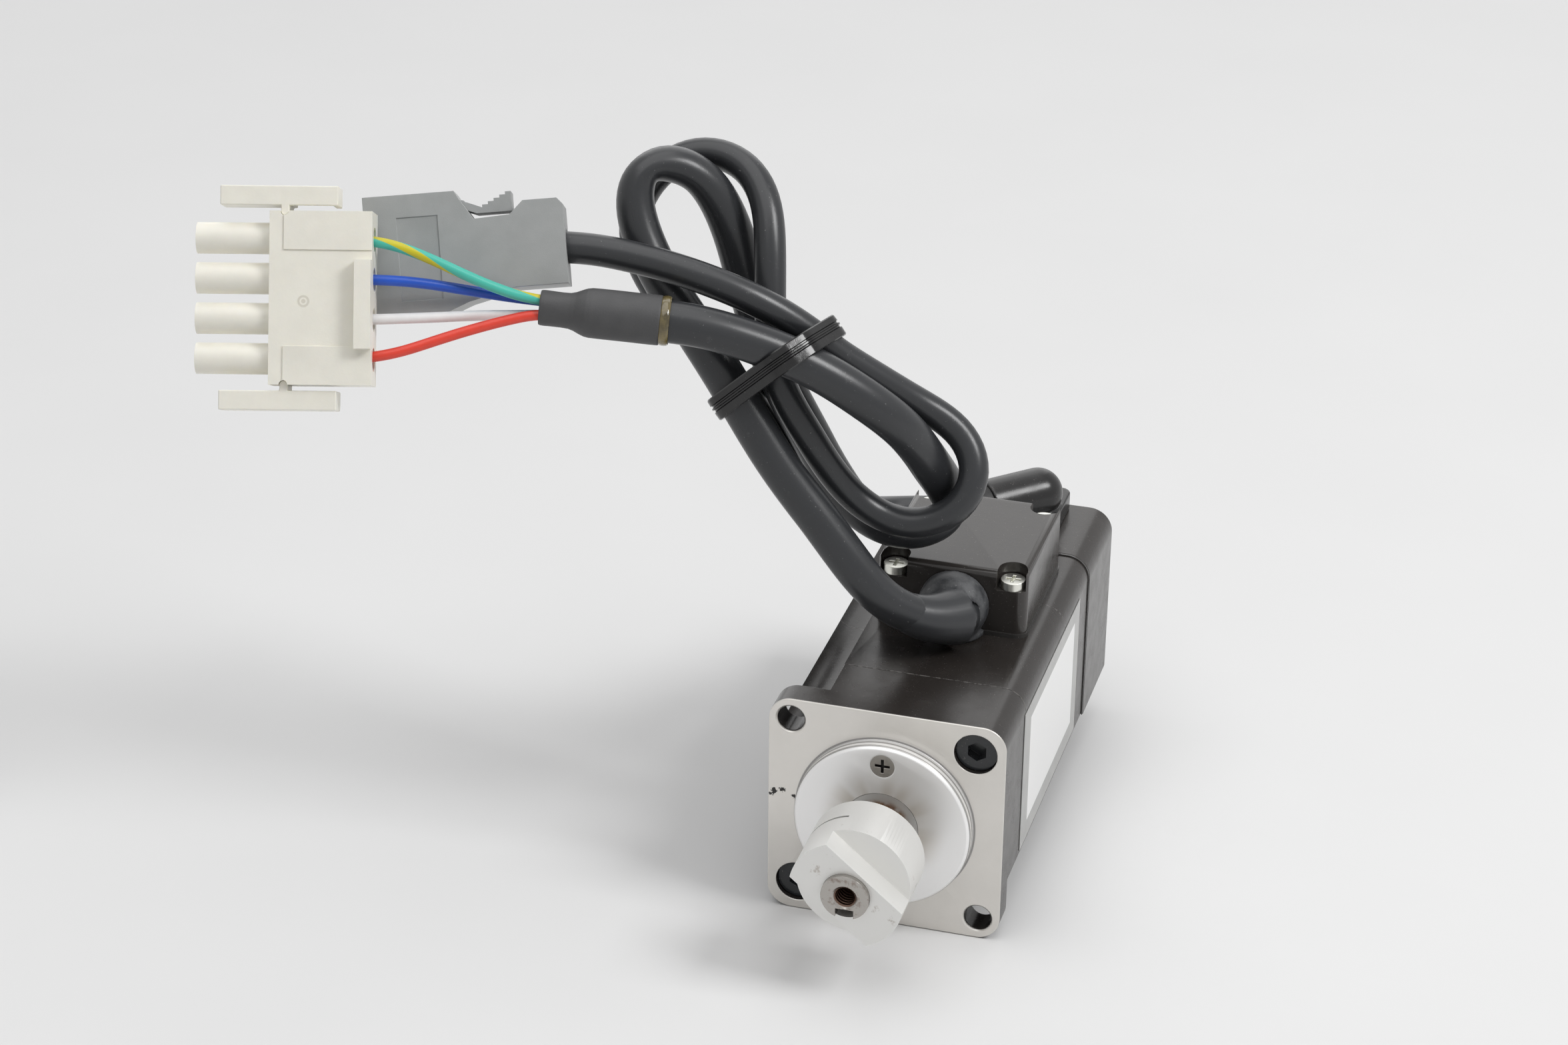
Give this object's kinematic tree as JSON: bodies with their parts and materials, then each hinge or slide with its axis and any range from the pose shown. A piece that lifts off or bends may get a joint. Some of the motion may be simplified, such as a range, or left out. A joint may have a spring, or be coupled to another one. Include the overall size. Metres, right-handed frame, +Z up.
{
  "type": "ac servo motor",
  "caption": "Compact servo motor with a square 40 mm flange, a tongued coupling hub, a terminal cap, and looped power and signal leads tied together and ending in plugs.",
  "frame": {"origin": "shaft axis at the flange's front face", "axes": "-Y along the shaft out of the motor, +X to the right seen from the shaft's end, +Z up through the terminal cap"},
  "size_m": [0.1328, 0.109, 0.1221],
  "materials": {
    "housing_paint": "brownish-black semi-gloss paint on a die casting, machined bare on the front face",
    "stator_paint": "brownish-black semi-gloss paint on laminated steel",
    "cap_paint": "brownish-black semi-gloss paint with bright worn edges",
    "ground_steel": "ground steel, slightly stained near the seal",
    "bearing_steel": "polished bearing steel",
    "zinc_screw": "zinc-plated steel",
    "black_screw": "black oxide on steel, lightly oiled",
    "hub_alloy": "matt silver anodised aluminium with bright chipped edges",
    "rotor_steel": "plain steel",
    "magnet": "nickel-plated magnets",
    "copper": "enamelled copper winding",
    "contact_metal": "tin- or gold-plated brass",
    "seal_rubber": "matt black nitrile rubber",
    "seal_case": "metal front of the shaft seal, browned towards the shaft",
    "grommet_rubber": "matt dusty dark grey rubber",
    "sealant": "thin dark gasket with a bead of sealant",
    "board": "green circuit board",
    "chip": "black moulded sensor",
    "bobbin_plastic": "natural nylon",
    "block_plastic": "dark phenolic",
    "lead_red": "lead insulation",
    "outlet_plastic": "glossy black moulding",
    "label_film": "blank printed film",
    "disc_glass": "clear encoder disc",
    "cable_jacket": "black PVC with a soft sheen",
    "tie_nylon": "black nylon",
    "boot_shrink": "charcoal heat-shrink sleeve",
    "glue": "amber hot-melt glue",
    "wire_green": "turquoise green insulation with a yellow spiral stripe",
    "wire_blue": "blue insulation",
    "wire_white": "white insulation",
    "wire_red": "red insulation",
    "white_nylon": "natural off-white nylon",
    "grey_plastic": "grey moulded shells",
    "dark_nose": "dark moulding"
  },
  "bodies": {
    "housing": {"front_bracket": "housing_paint", "shaft_seal": "seal_case", "front_bearing_outer": "bearing_steel", "bearing_retainer": "rotor_steel", "retainer_screws": "zinc_screw", "stator_core": "stator_paint", "coil_bobbins": "bobbin_plastic", "coils": "copper", "winding_board": "board", "motor_leads": "lead_red", "tie_screws": "black_screw", "rear_bracket": "housing_paint", "rear_bearing_outer": "bearing_steel", "wave_washer": "bearing_steel", "encoder_board": "board", "encoder_sensor": "chip", "board_screws": "zinc_screw", "cover_gasket": "sealant", "rear_cover": "housing_paint", "cover_screws": "zinc_screw", "cap_gasket": "sealant", "power_cap": "cap_paint", "cap_screws": "zinc_screw", "terminal_block": "block_plastic", "terminal_studs": "contact_metal", "power_cores": "lead_red", "power_grommet": "grommet_rubber", "encoder_outlet": "outlet_plastic", "encoder_grommet": "seal_rubber", "type_label": "label_film", "power_cable": "cable_jacket", "encoder_cable": "cable_jacket", "cable_tie": "tie_nylon", "cable_boot": "boot_shrink", "glue_ring": "glue", "wire_green": "wire_green", "wire_blue": "wire_blue", "wire_white": "wire_white", "wire_red": "wire_red", "power_plug_housing": "white_nylon", "plug_contacts": "contact_metal", "signal_plug_front": "grey_plastic", "signal_plug_back": "grey_plastic", "signal_plug_nose": "dark_nose", "signal_contacts": "contact_metal"},
    "rotor": {"shaft": "ground_steel", "rotor_core": "rotor_steel", "rotor_magnets": "magnet", "front_bearing_inner": "bearing_steel", "rear_bearing_inner": "bearing_steel", "encoder_hub": "contact_metal", "encoder_disc": "disc_glass", "encoder_screw": "zinc_screw", "coupling_hub": "hub_alloy", "hub_clamp_screw": "black_screw"},
    "front_cage": {"front_bearing_balls": "bearing_steel"},
    "rear_cage": {"rear_bearing_balls": "bearing_steel"},
    "upper_latch": {"latch_upper": "white_nylon"},
    "lower_latch": {"latch_lower": "white_nylon"},
    "lever": {"plug_lever": "grey_plastic"}
  },
  "joints": [
    {"name": "shaft_spin", "type": "hinge", "parent": "housing", "child": "rotor", "pos_m": [0, 0, 0], "axis": [0, -1, 0], "continuous": true},
    {"name": "front_cage_spin", "type": "hinge", "parent": "housing", "child": "front_cage", "pos_m": [0, 0, 0], "axis": [0, -1, 0], "continuous": true},
    {"name": "rear_cage_spin", "type": "hinge", "parent": "housing", "child": "rear_cage", "pos_m": [0, 0, 0], "axis": [0, -1, 0], "continuous": true},
    {"name": "upper_latch_press", "type": "hinge", "parent": "housing", "child": "upper_latch", "pos_m": [-0.09874, -0.00461, 0.09721], "axis": [-0.2456, 0.8565, -0.454], "range_deg": [0, 5], "stiffness_Nm_per_rad": 0.3},
    {"name": "lower_latch_press", "type": "hinge", "parent": "housing", "child": "lower_latch", "pos_m": [-0.09531, -0.01656, 0.07279], "axis": [0.2456, -0.8565, 0.454], "range_deg": [0, 5], "stiffness_Nm_per_rad": 0.3},
    {"name": "lever_press", "type": "hinge", "parent": "housing", "child": "lever", "pos_m": [-0.07602, 0.01334, 0.09417], "axis": [-0.2456, 0.8565, -0.454], "range_deg": [0, 6], "stiffness_Nm_per_rad": 0.2}
  ],
  "couplings": [
    {"joint": "front_cage_spin", "follows": "shaft_spin", "ratio": 0.38889},
    {"joint": "rear_cage_spin", "follows": "shaft_spin", "ratio": 0.38571}
  ]
}
